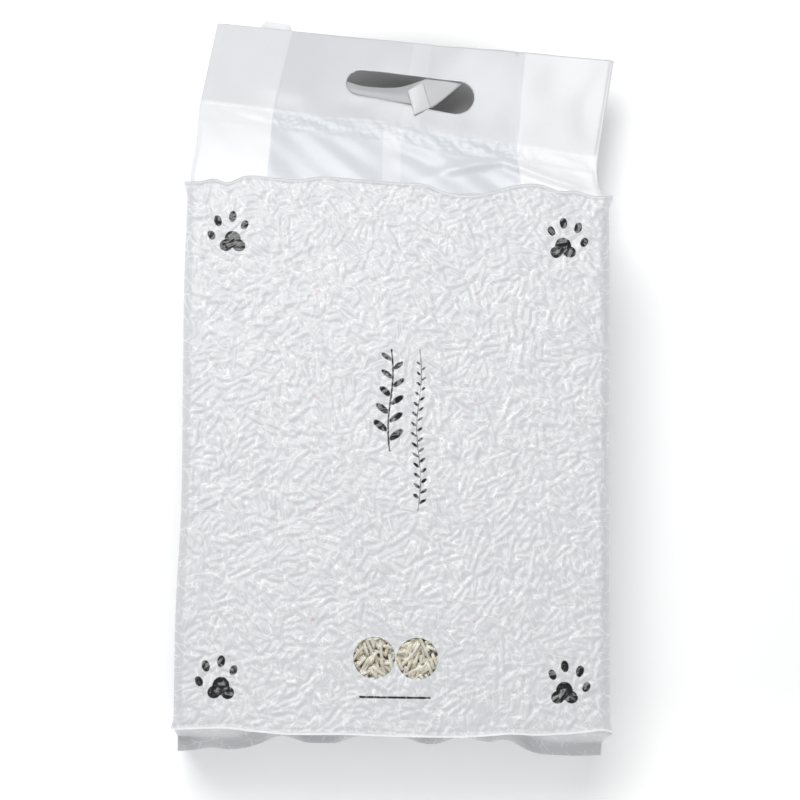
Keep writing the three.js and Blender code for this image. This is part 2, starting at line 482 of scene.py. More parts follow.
def build_film_finish():
    """The group that turns a place, a colour and a crease into the film's look."""
    tree, given, results = new_group(
        "film_finish",
        [("Place", "Vector", (0, 0, 0)), ("Colour", "Color", (0.8, 0.8, 0.8, 1)),
         ("Crease", "Float", 0.0), ("Lift", "Float", 1.0), ("Roughness", "Float", 0.35),
         ("Fine", "Float", 0.5)],
        [("Colour", "Color"), ("Roughness", "Float"), ("Height", "Float")],
    )
    place, colour, crease, lift, roughness, fine = given[:6]
    clouds = noise(place, CLOUD_SCALE, 3.0, 0.5)
    grain = noise(place, GRAIN_SCALE, 3.0, 0.6)
    lines = multiply(fine_creases(tree, place), fine)
    lifted = larger(lines, multiply(rising(crease, 0.3, 0.95), lift))
    # Painted highlight: the colour is lightened where the film is creased and along the fine
    # crease lines.
    bright = blend_colours(calc("MINIMUM", lifted, 1.0), colour, CREASE_HIGHLIGHT)
    shade = multiply_add(clouds, 0.07, 0.965)
    grey = add_node(tree, "ShaderNodeCombineColor", (shade, shade, shade)).outputs[0]
    rough = multiply_add(grain, 0.12, subtract(roughness, 0.06))
    height = multiply_add(lines, 1.5, multiply_add(grain, 0.25, clouds))
    feed(results, (blend_colours(1.0, bright, grey, "MULTIPLY"),
                   multiply_add(lifted, -0.1, rough), height))
    return tree


film_finish = build_film_finish()


def new_material(name):
    """A material with its node tree, its Principled shader and its output node."""
    material = bpy.data.materials.new(name)
    material.use_nodes = True
    nodes = material.node_tree.nodes
    return material, material.node_tree, nodes["Principled BSDF"], nodes["Material Output"]


def flat_place(tree):
    """Where a point lies on the flat film: a vector in metres, then x and y in mm."""
    laid = add_node(tree, "ShaderNodeUVMap", uv_map="lay_flat").outputs[0]
    scaled = add_node(tree, "ShaderNodeVectorMath", (laid, None, None, 1 / MM),
                      operation="SCALE").outputs[0]
    split = add_node(tree, "ShaderNodeSeparateXYZ", (scaled,))
    return laid, split.outputs[0], split.outputs[1]


def bump(tree, shader, height, strength):
    """Roughens a shader's surface by a height of up to 0.2 mm."""
    bumped = add_node(tree, "ShaderNodeBump", (strength, 0.2 * MM))
    feed((bumped.inputs["Height"], shader.inputs["Normal"]), (height, bumped.outputs[0]))


def finish_film(tree, shader, place, colour, lift=1.0, roughness=0.38, fine=0.55):
    """Wires the film finish into a material's shader, and returns the group node."""
    crease = add_node(tree, "ShaderNodeAttribute", attribute_name="crease").outputs["Fac"]
    film = use_group(film_finish, place, colour, crease, lift, roughness, fine)
    feed((shader.inputs["Base Color"], shader.inputs["Roughness"]), film.outputs[:2])
    bump(tree, shader, film.outputs[2], 0.25)
    return film


FILM_GREY = (0.70, 0.71, 0.73, 1)
film_plain, tree, shader, _ = new_material("film_plain")
finish_film(tree, shader, flat_place(tree)[0], FILM_GREY)
print("film finish ready:", film_plain.name)

# %% [markdown]
# ## Print
# The front carries four paw prints, a few faint pink dots and two windows. The paws mirror
# each other left to right and repeat down the bag, so folding the coordinates over draws all
# four from one. Where lettering would be, there are two plain leaf sprigs, and a plain rule
# under the windows. Each mark is made of soft-edged ellipses.

# %% Groups that draw marks
INK_EDGE = 0.22
PAW_TOES = ((-11.1, 3.4, 1.9, 2.7, 28), (-7.9, 11.3, 2.0, 3.0, 14),
            (-0.2, 13.7, 2.0, 3.0, -6), (6.1, 9.3, 1.9, 2.7, -22))
PAW_PAD = ((0, 1.2, 4.3, 4.6, 0), (-3.2, -1.8, 3.6, 3.2, 24), (3.4, -2.1, 3.4, 3.2, -24))
LEAF_TURN = math.radians(38)
SPRIG_SWAY, SPRIG_SWAY_PITCH = 1.1, 0.11
PLACE_INPUTS = [("X", "Float", 0.0), ("Y", "Float", 0.0)]
MASK_OUTPUT = [("Mask", "Float")]


def build_ink_ellipse():
    """The group that masks one turned, soft-edged ellipse."""
    sizes = [("Centre X", "Float", 0.0), ("Centre Y", "Float", 0.0),
             ("Half Width", "Float", 1.0), ("Half Height", "Float", 1.0),
             ("Turn", "Float", 0.0)]
    tree, given, results = new_group("ink_ellipse", PLACE_INPUTS + sizes, MASK_OUTPUT)
    x, y = subtract(given[0], given[2]), subtract(given[1], given[3])
    cosine, sine = calc("COSINE", given[6]), calc("SINE", given[6])
    across = divide(multiply_add(x, cosine, multiply(y, sine)), given[4])
    up = divide(subtract(multiply(y, cosine), multiply(x, sine)), given[5])
    squared = multiply_add(across, across, multiply(up, up))
    inside = subtract(1.0, calc("SQRT", squared))
    distance = multiply(inside, calc("MINIMUM", given[4], given[5]))
    feed(results, (rising(distance, -INK_EDGE, INK_EDGE),))
    return tree


ink_ellipse = build_ink_ellipse()


def draw_ellipses(x, y, shapes):
    """The union of several ellipses, each (x, y, half width, half height, degrees)."""
    masks = (use_group(ink_ellipse, x, y, *shape, math.radians(turn)).outputs[0]
             for *shape, turn in shapes)
    return functools.reduce(larger, masks)


def build_paw_print():
    """The group that masks one paw, its toes and its pad."""
    tree, given, results = new_group("paw_print", PLACE_INPUTS, MASK_OUTPUT)
    feed(results, (draw_ellipses(given[0], given[1], PAW_TOES + PAW_PAD),))
    return tree


def build_leaf_sprig():
    """The group that masks a swaying stem with leaves that shrink towards its tip."""
    sizes = [("Bottom", "Float", 0.0), ("Top", "Float", 50.0), ("Spacing", "Float", 7.0),
             ("Leaf Length", "Float", 2.6)]
    tree, given, results = new_group("leaf_sprig", PLACE_INPUTS + sizes, MASK_OUTPUT)
    x, y, bottom, top, spacing, leaf = given[:6]
    x = multiply_add(calc("SINE", multiply(y, SPRIG_SWAY_PITCH)), SPRIG_SWAY, x)
    half_step = multiply(spacing, 0.5)
    shift = multiply(half_step, calc("GREATER_THAN", x, 0.0))
    lifted = subtract(add(y, shift), bottom)
    step = remainder(lifted, spacing)
    height = divide(subtract(lifted, step), subtract(top, bottom))
    whole = multiply(calc("GREATER_THAN", height, 0.02), calc("LESS_THAN", height, 0.93))
    thickness = multiply(leaf, 0.1)
    leaf = multiply(leaf, multiply_add(height, -0.45, 1.1))
    out = absolute(x)
    leaves = use_group(ink_ellipse, out, step, multiply(leaf, 0.92), half_step, leaf,
                       multiply(leaf, 0.42), LEAF_TURN).outputs[0]
    stem = rising(subtract(thickness, out), -INK_EDGE, INK_EDGE)
    length = multiply(rising(subtract(y, bottom), 0.0, 0.4), rising(subtract(top, y), 0.0, 0.4))
    feed(results, (larger(multiply(leaves, whole), multiply(stem, length)),))
    return tree


paw_print = build_paw_print()
leaf_sprig = build_leaf_sprig()
print("mark groups:", ink_ellipse.name, paw_print.name, leaf_sprig.name)

# %% [markdown]
# The printed front uses the same film finish under the ink. Ink hides the film's colour but
# takes its creases, so only the colour and roughness change, and along the creases a grey
# highlight is painted into the black ink. The pink dots are faint. Both front materials, the
# printed film and the window patch, share this recipe.

# %% Printed film
PAW_PAD_X = 86.8
PAW_PAD_Y = 112.0
PAW_REPEAT = 234.0
BOLD_X, BOLD_SPRIG = -3.0, (1.0, 56.0, 9.2, 4.3)
FINE_X, FINE_SPRIG = 11.8, (-30.0, 56.0, 5.4, 1.9)
RULE_MIDDLE, RULE_HALF_LENGTH, RULE_Y, RULE_HALF_WIDTH = 1.0, 17.5, -125.3, 0.55
DOT_X = 41.0
DOT_REPEAT = 57.5
DOTS_END = 120.0
DOT_RADIUS = 0.8
INK_BLACK = (0.012, 0.012, 0.014, 1)
# The grey of the painted highlight on the ink.
INK_HIGHLIGHT = (0.20, 0.20, 0.21, 1)
DOT_PINK = (0.80, 0.36, 0.44, 1)


def printed_film(tree, shader):
    """The front film's whole recipe, wired into one shader. Returns flat x and y."""
    place, x, y = flat_place(tree)
    paw_y = subtract(remainder(y, PAW_REPEAT), PAW_PAD_Y)
    paws = use_group(paw_print, subtract(PAW_PAD_X, absolute(x)), paw_y).outputs[0]
    bold = use_group(leaf_sprig, subtract(x, BOLD_X), y, *BOLD_SPRIG).outputs[0]
    fine = use_group(leaf_sprig, subtract(x, FINE_X), y, *FINE_SPRIG).outputs[0]
    beyond = subtract(absolute(subtract(x, RULE_MIDDLE)), RULE_HALF_LENGTH)
    rule = draw_ellipses(larger(beyond, 0.0), y,
                         ((0.0, RULE_Y, RULE_HALF_WIDTH, RULE_HALF_WIDTH, 0),))
    ink = larger(larger(paws, bold), larger(fine, rule))
    dots = draw_ellipses(absolute(x), remainder(y, DOT_REPEAT),
                         ((DOT_X, DOT_REPEAT / 2, DOT_RADIUS, DOT_RADIUS, 0),))
    dots = multiply(dots, calc("LESS_THAN", absolute(y), DOTS_END))
    film = finish_film(tree, shader, place, FILM_GREY)
    dotted = blend_colours(multiply(dots, 0.55), film.outputs[0], DOT_PINK)
    crease = film.inputs["Crease"].links[0].from_socket
    # Painted highlight: along the film's creases the black ink is lightened to grey.
    ink_highlight = blend_colours(rising(crease, 0.3, 1.0), INK_BLACK, INK_HIGHLIGHT)
    feed((shader.inputs["Base Color"], shader.inputs["Roughness"]),
         (blend_colours(ink, dotted, ink_highlight), multiply_add(ink, -0.16, film.outputs[1])))
    return x, y


film_printed, tree, shader, _ = new_material("film_printed")
printed_film(tree, shader)
print("printed film ready:", len(film_printed.node_tree.nodes), "nodes")

# %% [markdown]
# The two round windows are left clear of the white layer. Clear film is see-through with a
# thin gloss, so the patch that holds them mixes the printed film with a transparent shader
# and a glossy one. Only this small patch is see-through, and the rest of the front stays
# opaque, which keeps it light to render.

# %% Window film
film_windowed, tree, shader, output = new_material("film_windowed")
flat_x, flat_y = printed_film(tree, shader)
rounds = tuple((x, y, WINDOW_RADIUS, WINDOW_RADIUS, 0) for x, y in WINDOWS)
clear = draw_ellipses(flat_x, flat_y, rounds)
see_through = add_node(tree, "ShaderNodeBsdfTransparent", ((1, 1, 0.99, 1),))
gloss = add_node(tree, "ShaderNodeBsdfGlossy", ((1, 1, 1, 1), 0.16))
grazing = add_node(tree, "ShaderNodeFresnel", (1.42,))
clear_film = add_node(tree, "ShaderNodeMixShader",
                      (grazing.outputs[0], see_through.outputs[0], gloss.outputs[0]))
window_mix = add_node(tree, "ShaderNodeMixShader",
                      (clear, shader.outputs[0], clear_film.outputs[0]))
tree.links.new(window_mix.outputs[0], output.inputs["Surface"])
print("window film ready:", film_windowed.name)

# %% [markdown]
# ## The front panel
# The front is pulled flat by the vacuum. Along its two long sides it turns down to a pinched
# crease, and along its two ends it stands up in a wavy lip that ends in a small ear at each
# corner. The waves of the lips are a few chosen crests and hollows, joined smoothly.

# %% Where the front's edges run
HALF_WIDTH = 110.0
HALF_LENGTH = 142.5
WIDTH, LENGTH = 2 * HALF_WIDTH, 2 * HALF_LENGTH
FRONT_TOP = 79.6
HEAD_LIP = ((-110, 144.5), (-103, 144.4), (-94, 146.0), (-88, 144.2), (-80, 147.6),
            (-62, 147.2), (-52, 146.7), (-42, 148.4), (-22, 147.6), (0, 146.0), (14, 145.2),
            (24, 141.2), (38, 139.8), (48, 142.2), (58, 145.4), (74, 146.2), (82, 143.2),
            (90, 143.4), (102, 140.6), (110, 141.6))
FOOT_LIP = ((-110, 143.2), (-96, 142.6), (-82, 142.3), (-70, 143.6), (-55, 144.8),
            (-24, 144.6), (4, 145.2), (43, 144.6), (60, 143.2), (71, 143.6), (94, 142.0),
            (107, 140.8), (110, 141.4))
SIDE_WAVES = ((-142, 0.2), (-75, 0.8), (-34, -0.3), (30, 0.6), (104, 1.6), (142, 1.0))
SIDE_WAVES_RIGHT = ((-142, 0.0), (-60, 0.2), (20, 0.7), (80, 1.3), (142, 1.2))


def through(points, at):
    """A smooth curve through a few chosen points, by joined cubic pieces."""
    xs, ys = np.array(points, float).T
    slopes = np.gradient(ys, xs)
    k = np.clip(np.searchsorted(xs, at) - 1, 0, len(xs) - 2)
    span = xs[k + 1] - xs[k]
    t = np.clip((at - xs[k]) / span, 0, 1)
    rise = ys[k + 1] - ys[k]
    curve = ys[k] + rise * t * t * (3 - 2 * t)
    return curve + span * t * (1 - t) * (slopes[k] * (1 - t) - slopes[k + 1] * t)


def mix(first, second, share):
    """A value part of the way from first to second."""
    return first + (second - first) * share


def laid_flat(u, v):
    """Where the shares u and v lie on the flat front, in millimetres from its middle."""
    return mix(-HALF_WIDTH, HALF_WIDTH, u), mix(-HALF_LENGTH, HALF_LENGTH, v)


def to_border(share, size):
    """How far a share of a size lies from its nearer end."""
    return np.minimum(share, 1 - share) * size


def front_surface(u, v):
    """The front before its pellets show: x, y and z where u runs across and v along."""
    across, along = laid_flat(u, v)
    ears = 2.0 * smooth(along, 134, 142) + 1.2 * smooth(-along, 137, 142)
    left = -HALF_WIDTH - through(SIDE_WAVES, along) - ears
    right = HALF_WIDTH + through(SIDE_WAVES_RIGHT, along) + ears
    y = mix(-through(FOOT_LIP, across), through(HEAD_LIP, across), v)
    to_side = to_border(u, WIDTH)
    to_end = to_border(v, LENGTH)
    side_drop = (2.3 - 1.2 * smooth(np.abs(along), 128, 142)) * (1 - smooth(to_side, 0, 5))
    end_drop = hump(to_end, 2.0, 1.1) * (0.3 + 0.2 * slow_waves(across, 0, 5, 50))
    end_drop -= 0.35 * (to_end < 0.6)
    swell = 0.35 * slow_waves(across, along, 3, 120) * smooth(to_side, 0, 30)
    return mix(left, right, u), y, FRONT_TOP - side_drop - end_drop + swell - 0.35


print("lips run to", *(max(y for _, y in lip) for lip in (HEAD_LIP, FOOT_LIP)), "mm")

# %% Build the front and its window patch
FRONT_COLUMNS = 275
FRONT_ROWS = 356
PATCH_COLUMNS = (106, 173)
PATCH_ROWS = (26, 68)


def place_front(u, v):
    """The front with its pellets, calm at its borders and with a painted highlight along its
    two lips.
    """
    x, y, z = front_surface(u, v)
    across, along = laid_flat(u, v)
    depth, crease = relief(across, along, windowed=True)
    to_end = to_border(v, LENGTH)
    calm = smooth(to_border(u, WIDTH), 0.4, 5) * smooth(to_end, 0.4, 2.6)
    # The last millimetre of each lip gets a painted highlight, carried by the crease value.
    lip_highlight = 1 - smooth(to_end, 0.5, 1.4)
    return x, y, z - depth * calm, x, y, np.maximum(crease * mix(0.4, 1, calm), lip_highlight)


def place_patch(u, v):
    """The same rule for the window patch, on its own part of the front's grid."""
    columns = mix(PATCH_COLUMNS[0], PATCH_COLUMNS[1], u)
    rows = mix(PATCH_ROWS[0], PATCH_ROWS[1], v)
    return place_front(columns / FRONT_COLUMNS, rows / FRONT_ROWS)


def cut_patch(u, v):
    """Marks the points that the window patch takes over."""
    column, row = u * FRONT_COLUMNS, v * FRONT_ROWS
    gone = (column > PATCH_COLUMNS[0] - 0.5) & (column < PATCH_COLUMNS[1] + 0.5)
    return u, v, gone & (row > PATCH_ROWS[0] - 0.5) & (row < PATCH_ROWS[1] + 0.5)


front_panel = film_panel("front_panel", FRONT_COLUMNS, FRONT_ROWS, place_front,
                         film_printed, cut=cut_patch)
patch_columns = PATCH_COLUMNS[1] - PATCH_COLUMNS[0]
patch_rows = PATCH_ROWS[1] - PATCH_ROWS[0]
film_panel("window_patch", patch_columns, patch_rows, place_patch, film_windowed)
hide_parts("bag_film")

# %% [markdown]
# ## The back panel
# The back lies on the floor, pressed flat, with the same pellets showing through and a lapped
# seam down its middle, where the tube was joined. Its long edges rise to a pinched crease.
# Nothing on it reaches below the floor.

# %% Build the back
BACK_COLUMNS = 184
BACK_ROWS = 238
BACK_SHIFT = (57.0, 131.0)
LAP_WIDTH = 10.0
LAP_STEP = 0.35
FOOT_DRAW = 6.5


def back_surface(u, v):
    """The back before its pellets show. Its sides follow the front's, a little inside."""
    along = mix(-HALF_LENGTH, HALF_LENGTH, v)
    left = -HALF_WIDTH - 0.5 * through(SIDE_WAVES, along)
    right = HALF_WIDTH + 0.5 * through(SIDE_WAVES_RIGHT, along)
    to_side = to_border(u, WIDTH)
    to_end = to_border(v, LENGTH)
    rise = 2.4 * (1 - smooth(to_side, 0, 6)) + 2.0 * (1 - smooth(to_end, 0, 7))
    drawn = FOOT_DRAW * smooth(to_side, 26, 50) * (1 - smooth(v, 0, 0.25))
    return mix(left, right, u), along + drawn, LAP_STEP + 0.1 + np.minimum(rise, 2.6)


def place_back(u, v):
    """The back with its pellets pressed flat, and the lap of its seam standing lowest."""
    x, y, z = back_surface(u, v)
    across, along = laid_flat(u, v)
    depth, crease = relief(across + BACK_SHIFT[0], along + BACK_SHIFT[1])
    to_edge = np.minimum(to_border(u, WIDTH), to_border(v, LENGTH))
    calm = smooth(to_edge, 0.4, 6)
    lap = 1 - smooth(np.abs(across + 4), LAP_WIDTH / 2 - 0.4, LAP_WIDTH / 2 + 0.4)
    pressed = np.maximum(depth + 0.1, 0) * calm * mix(0.85, 0.6, lap)
    return x, y, z + pressed - LAP_STEP * lap, across, along, crease * calm


film_panel("back_panel", BACK_COLUMNS, BACK_ROWS, place_back, film_plain, flip=True)

# %% [markdown]
# ## The header and its end face
# Past the head lip the front film drops down the end of the brick to mid-depth and turns out
# into the header, and the back film rises to meet it. So each of the two is one sheet: the
# end flap and then one side of the header. The path is worked out flat, as a distance down
# the film, then softened at the turn, and last laid on the header's swing, sag and twist.
# The side edges of the two sheets are pinched together.

# %% The header's path
HEADER_LENGTH = 104.0
SEAL_DISTANCE = 46.0
ROOT_HEIGHT = 38.0
HEADER_TURN = math.radians(8)
HEADER_DROOP = 17.0
HEADER_TWIST = 13.0
MOUTH_SKEW = 0.024
FLAP_DROP = {1: 41.0, -1: 37.0}
LEFT_FOLD = (-71.0, -67.5)
RIGHT_FOLD = (69.5, 61.5)
MOUTH_FLARE = 0.018
NECK_SLACK, NECK_RIPPLE = 1.3, 0.45
MOUTH_WAVE, MOUTH_RIPPLE = 0.8, 0.22
PULLED_FOLD, FOLD_ACROSS = 1.8, 58.0
SEAL_HALF_WIDTH = 5.0
TURN_REACH = 9.0


def softened(path, distance, reach):
    """A path's value averaged over a stretch of it, which rounds its corners."""
    steps = np.linspace(-1, 1, 9)
    return sum(path(distance + step * reach) for step in steps) / len(steps)


def on_header(across, along, above):
    """The header's place for a point, as the frame has it: it swings, sags and twists."""
    past = np.maximum(along - SEAL_DISTANCE, 0)
    leaning = np.where(across > 0, across, 0.5 * across)
    skew = MOUTH_SKEW * leaning * past / (HEADER_LENGTH - SEAL_DISTANCE)
    turn = HEADER_TURN * smooth(along, 0, SEAL_DISTANCE)
    out = np.clip(along / HEADER_LENGTH, 0, 1)
    across = across + MOUTH_FLARE * out * np.maximum(across, 0)
    twist = HEADER_TWIST * (across / HALF_WIDTH) * out**1.5
    reach = past + skew
    x = reach * math.sin(HEADER_TURN) + across * np.cos(turn)
    y = HALF_LENGTH + along - past + reach * math.cos(HEADER_TURN) - across * np.sin(turn)
    return x, y, ROOT_HEIGHT - HEADER_DROOP * out + twist + above


def header_layers(across, along):
    """1 where the tucked gussets make the header four layers thick, 0 where it is two."""
    left, right = (mix(*fold, np.clip(along / HEADER_LENGTH, 0, 1))
                   for fold in (LEFT_FOLD, RIGHT_FOLD))
    return 1 - smooth(across, left - 1, left + 1) + smooth(across, right - 1, right + 1)


def seal_crinkles(across, along):
    """Fine crinkles across the heat seal, strongest in the two-layer middle."""
    middle = SEAL_DISTANCE + 1.5 * slow_waves(across, 0, 21, 70)
    band = hump(along, middle, SEAL_HALF_WIDTH)
    thin = mix(1, 0.35, header_layers(across, along))
    fine = 1 - np.abs(slow_waves(across * 0.8 + along, along * 1.8, 22, 6.5, 9))
    coarse = slow_waves(across, along * 2.5, 23, 24, 7)
    ridge = smooth(along, middle - 5.5, middle - 4.3) - smooth(
        along, middle + 4.3, middle + 5.5)
    return band * thin * (0.5 * fine + 0.4 * coarse) - 0.2 * ridge


def header_buckles(across, along):
    """The slack shapes of the header: a buckled neck, and faint waves beyond the seal."""
    neck = smooth(along, 2, 14) * (1 - smooth(along, 34, 44))
    open_side = smooth(HALF_WIDTH - np.abs(across), 0, 14)
    slack = NECK_SLACK * slow_waves(across, along, 31, 70)
    slack += NECK_RIPPLE * slow_waves(across + along, along, 32, 26)
    slack *= mix(1, 0.35, header_layers(across, along))
    fold = hump(along, 40 - 0.42 * np.abs(across - FOLD_ACROSS), 4.0)
    fold *= smooth(across, 5, 40) * (1 - smooth(across, 92, 108))
    beyond = smooth(along, 50, 64)
    waves = MOUTH_WAVE * slow_waves(across, along, 33, 75)
    waves += MOUTH_RIPPLE * slow_waves(across, along, 34, 26)
    return neck * open_side * (slack + PULLED_FOLD * fold) + beyond * open_side * waves


def header_sheet(u, distance, face):
    """One side of the header: face is 1 for the front film and -1 for the back."""
    surface = front_surface if face > 0 else back_surface
    start_x, start_y, start_z = surface(u, np.ones_like(u))
    drop = FLAP_DROP[face]
    flat_across = mix(-HALF_WIDTH, HALF_WIDTH, u)
    to_side = to_border(u, WIDTH)
    reach = TURN_REACH * smooth(to_side, 0, 16) * smooth(distance, 0, 20)
    along = softened(lambda s: np.maximum(s - drop, 0), distance, reach)
    level = softened(lambda s: np.clip(s / drop, 0, 1), distance, reach)
    tucked = (start_y - HALF_LENGTH) * (1 - smooth(distance, 0, 4.5))
    neck = hump(along, 15, 9.0) * smooth(along, 0, 4)
    bulge = neck * smooth(np.abs(flat_across), 60, 110) * np.sign(flat_across)
    across = mix(start_x, flat_across, smooth(distance, 0, 8)) + bulge * 2.2
    gap = mix(0.35, 0.75, header_layers(flat_across, along)) * smooth(to_side, 0, 2.5)
    in_header = smooth(along, 0, 8)
    apart = face * gap * mix(1, 0.45, hump(along, SEAL_DISTANCE, 6.0))
    lift = header_buckles(flat_across, along) + seal_crinkles(flat_across, along)
    above = (start_z - ROOT_HEIGHT) * (1 - level) + in_header * (apart + lift)
    x, y, z = on_header(across, along, above)
    share = smooth(distance, 20, drop)
    x, y = mix(across, x, share), mix(HALF_LENGTH + along, y, share) + tucked
    flat_along = along - np.maximum(drop - distance, 0)
    return x, y, mix(ROOT_HEIGHT + above, z, share), flat_across, flat_along


print("header runs", HEADER_LENGTH, "mm past the brick")

# %% [markdown]
# Light shows through the header's film, so it looks whiter where the tucked gussets make it
# four layers thick. The tone is worked out from where a point lay on the flat film. The end
# flaps are pressed on the pellets as the other faces are, so they take the same relief,
# pushed in towards the brick. It fades out where the film leaves the brick.

# %% How the header's layers show
TWO_LAYERS = (0.71, 0.73, 0.765, 1)
FOUR_LAYERS = (0.88, 0.885, 0.90, 1)
SEALED_LAYERS = (0.68, 0.69, 0.71, 1)
LAP_FROM = 1.0
LAP_TO = 11.0
NECK_LAP_SHIFT = -9.0


def header_tones(across, along):
    """Whiter where the film lies four layers thick, bluish where light shows through two."""
    left, right = (
        rising(multiply_add(along, (neck - mouth) / HEADER_LENGTH, across),
               neck - 0.5, neck + 0.5)
        for neck, mouth in (LEFT_FOLD, RIGHT_FOLD))
    past_seal = rising(along, SEAL_DISTANCE + 3, SEAL_DISTANCE + 6)
    lap_across = add(across, multiply_add(past_seal, NECK_LAP_SHIFT, -NECK_LAP_SHIFT))
    lap = subtract(*(rising(lap_across, edge - 0.5, edge + 0.5) for edge in (LAP_FROM, LAP_TO)))
    layers = larger(add(subtract(1.0, left), right), multiply(lap, 0.4))
    neck = blend_colours(layers, TWO_LAYERS, FOUR_LAYERS)
    beyond = blend_colours(multiply(layers, 0.45), SEALED_LAYERS, FOUR_LAYERS)
    header = blend_colours(past_seal, neck, beyond)
    return blend_colours(rising(along, -2.0, 6.0), FILM_GREY, header)


# %% Build the two header sheets
SHEET_STEP = 1.0
SHEET_THICKNESS = 0.25
SLOT_DISTANCE = 74.0
SLOT_ENDS = ((-24.6, 1.4, 7.9), (28.4, -0.5, 9.9))
NOTCH_ACROSS = 58.0
END_SHIFT = {1: (90.0, 210.0), -1: (15.0, 60.0)}


def end_relief(across, distance, drop, shift):
    """The relief on an end flap, calm at its lip, its sides and its root."""
    depth, crease = relief(across + shift[0], distance + shift[1])
    to_side = HALF_WIDTH - np.abs(across)
    calm = smooth(distance, 1, 6) * (1 - smooth(distance, drop - 16, drop - 5))
    calm = calm * smooth(to_side, 0.5, 6)
    return depth * calm, crease * calm


def from_slot(across, along):
    """How far a point of the header lies outside the hand slot, and which way out is."""
    (left_x, left_y, left_r), (right_x, right_y, right_r) = SLOT_ENDS
    x, y = across - left_x, along - SLOT_DISTANCE - left_y
    run, rise = right_x - left_x, right_y - left_y
    share = np.clip((x * run + y * rise) / (run**2 + rise**2), 0, 1)
    off_x, off_y = x - share * run, y - share * rise
    away = np.maximum(np.hypot(off_x, off_y), 1e-6)
    return away - mix(left_r, right_r, share), off_x / away, off_y / away


def notch(across, face):
    """A small nick in the front film's mouth edge, where a tucked fold was trimmed."""
    nick = 2.6 * np.maximum(1 - np.abs(across - NOTCH_ACROSS) / 1.5, 0) * (face > 0)
    return nick + 0.25 * slow_waves(across, 0, 41 + face, 30)


def build_header(name, face):
    """One side of the header with its end flap, and the hand slot cut out of it."""
    drop = FLAP_DROP[face]
    total = drop + HEADER_LENGTH

    def cut_slot(u, v):
        across, along = mix(-HALF_WIDTH, HALF_WIDTH, u), v * total - drop
        away, out_x, out_y = from_slot(across, along)
        snap = np.where(np.abs(away) < 0.6 * SHEET_STEP, away, 0)
        across, along = across - snap * out_x, along - snap * out_y
        return across / WIDTH + 0.5, (along + drop) / total, away - snap < 1e-3

    def place(u, v):
        distance = v * total
        trim = notch(mix(-HALF_WIDTH, HALF_WIDTH, u), face)
        distance = distance - trim * smooth(distance, total - 5, total)
        x, y, z, across, along = header_sheet(u, distance, face)
        depth, crease = end_relief(across, distance, drop, END_SHIFT[face])
        return x, y - depth, z, across, along, crease

    rows = round(total / SHEET_STEP)
    panel = film_panel(name, FRONT_COLUMNS, rows, place, film_header, flip=face < 0,
                       cut=cut_slot)
    thicken(panel)


def thicken(panel):
    """Gives a loose sheet its real thickness, inwards from its outer face."""
    wall = panel.modifiers.new("film_thickness", "SOLIDIFY")
    wall.thickness = SHEET_THICKNESS * MM
    wall.offset = -1
    wall.use_even_offset = False


film_header, tree, shader, _ = new_material("film_header")
place, flat_x, flat_y = flat_place(tree)
finish_film(tree, shader, place, header_tones(flat_x, flat_y), roughness=0.33,
            fine=0.0)
build_header("header_front", 1)
build_header("header_back", -1)

# %% [markdown]
# ## The sides
# Each side is a gusset that the filling has pushed out flat, with a shallow crease where it
# was tucked. Its four borders are the borders of its neighbours, so it is laid between the
# front's edge and the back's, and its two ends are drawn to the end flaps.

# %% Build the two sides
SIDE_COLUMNS = 66
SIDE_DEPTH = 78.0
SIDE_SHIFT = {-1: (200.0, 20.0), 1: (250.0, 170.0)}


def build_side(name, side):
    """One side: side is -1 for the left and 1 for the right."""
    edge = 0.0 if side < 0 else 1.0

    def base(v, w):
        at = np.full(np.broadcast(v, w).shape, edge)
        front, back = front_surface(at, v + 0 * at), back_surface(at, v + 0 * at)
        return [mix(a, b, w) for a, b in zip(front, back)]

    def end_line(w, sheet):
        at = np.full(w.shape, edge)
        upper = sheet(at, np.minimum(w * 2, 1) * FLAP_DROP[1], 1)
        lower = sheet(at, np.minimum(2 - w * 2, 1) * FLAP_DROP[-1], -1)
        return [np.where(w < 0.5, a, b) for a, b in zip(upper[:3], lower[:3])]

    def place(w, v):
        points = base(v, w)
        for end, sheet in ((1.0, header_sheet), (0.0, foot_sheet)):
            near = 1 - smooth(np.abs(v - end) * LENGTH, 0, 9)
            line, plain = end_line(w, sheet), base(np.full(w.shape, end), w)
            points = [p + near * (a - b) for p, a, b in zip(points, line, plain)]
        x, y, z = points
        down, along = w * SIDE_DEPTH, mix(-HALF_LENGTH, HALF_LENGTH, v)
        to_edge = np.minimum(to_border(w, SIDE_DEPTH), to_border(v, LENGTH))
        calm = smooth(to_edge, 0.4, 5)
        depth, crease = relief(down + SIDE_SHIFT[side][0], along + SIDE_SHIFT[side][1])
        tuck = hump((w - 0.5) * SIDE_DEPTH, 0, 1.6) * smooth(to_edge, 0, 20)
        swell = 0.9 * np.sin(np.pi * w) * smooth(to_edge, 0, 15)
        depth = depth * (1 - 0.6 * tuck) + 0.9 * tuck - swell
        return x - side * depth * calm, y, z, down, along, crease * calm

    film_panel(name, SIDE_COLUMNS, FRONT_ROWS, place, film_plain, flip=side < 0)


# %% [markdown]
# ## The foot
# At the foot the same two films meet in a short seal fin. Towards the sides the tucked
# gussets stiffen it, so it stands out nearly level. Between them it is only two layers, and
# it has curled down in waves while the end of the brick was drawn in behind it. The front
# lip overhangs that hollow and shades it.

# %% The foot's path
FIN_LENGTH = 8.0
FIN_OUT = ((-110, 7.3), (-102, 6.6), (-94, 5.2), (-82, 6.0), (-68, 4.2), (-58, 0.2),
           (-41, 4.0), (-31, 4.2), (-16, -0.6), (5, -0.4), (22, 3.6), (37, -0.8),
           (52, 1.6), (60, 0.4), (74, 5.9), (85, 6.6), (97, 6.9), (110, 6.3))
FOOT_HOLLOW, FLAP_HOLLOW = 5.5, 6.5
FIN_CURL = 4.0
LIP_FADE = {1: 4.5, -1: 30.0}


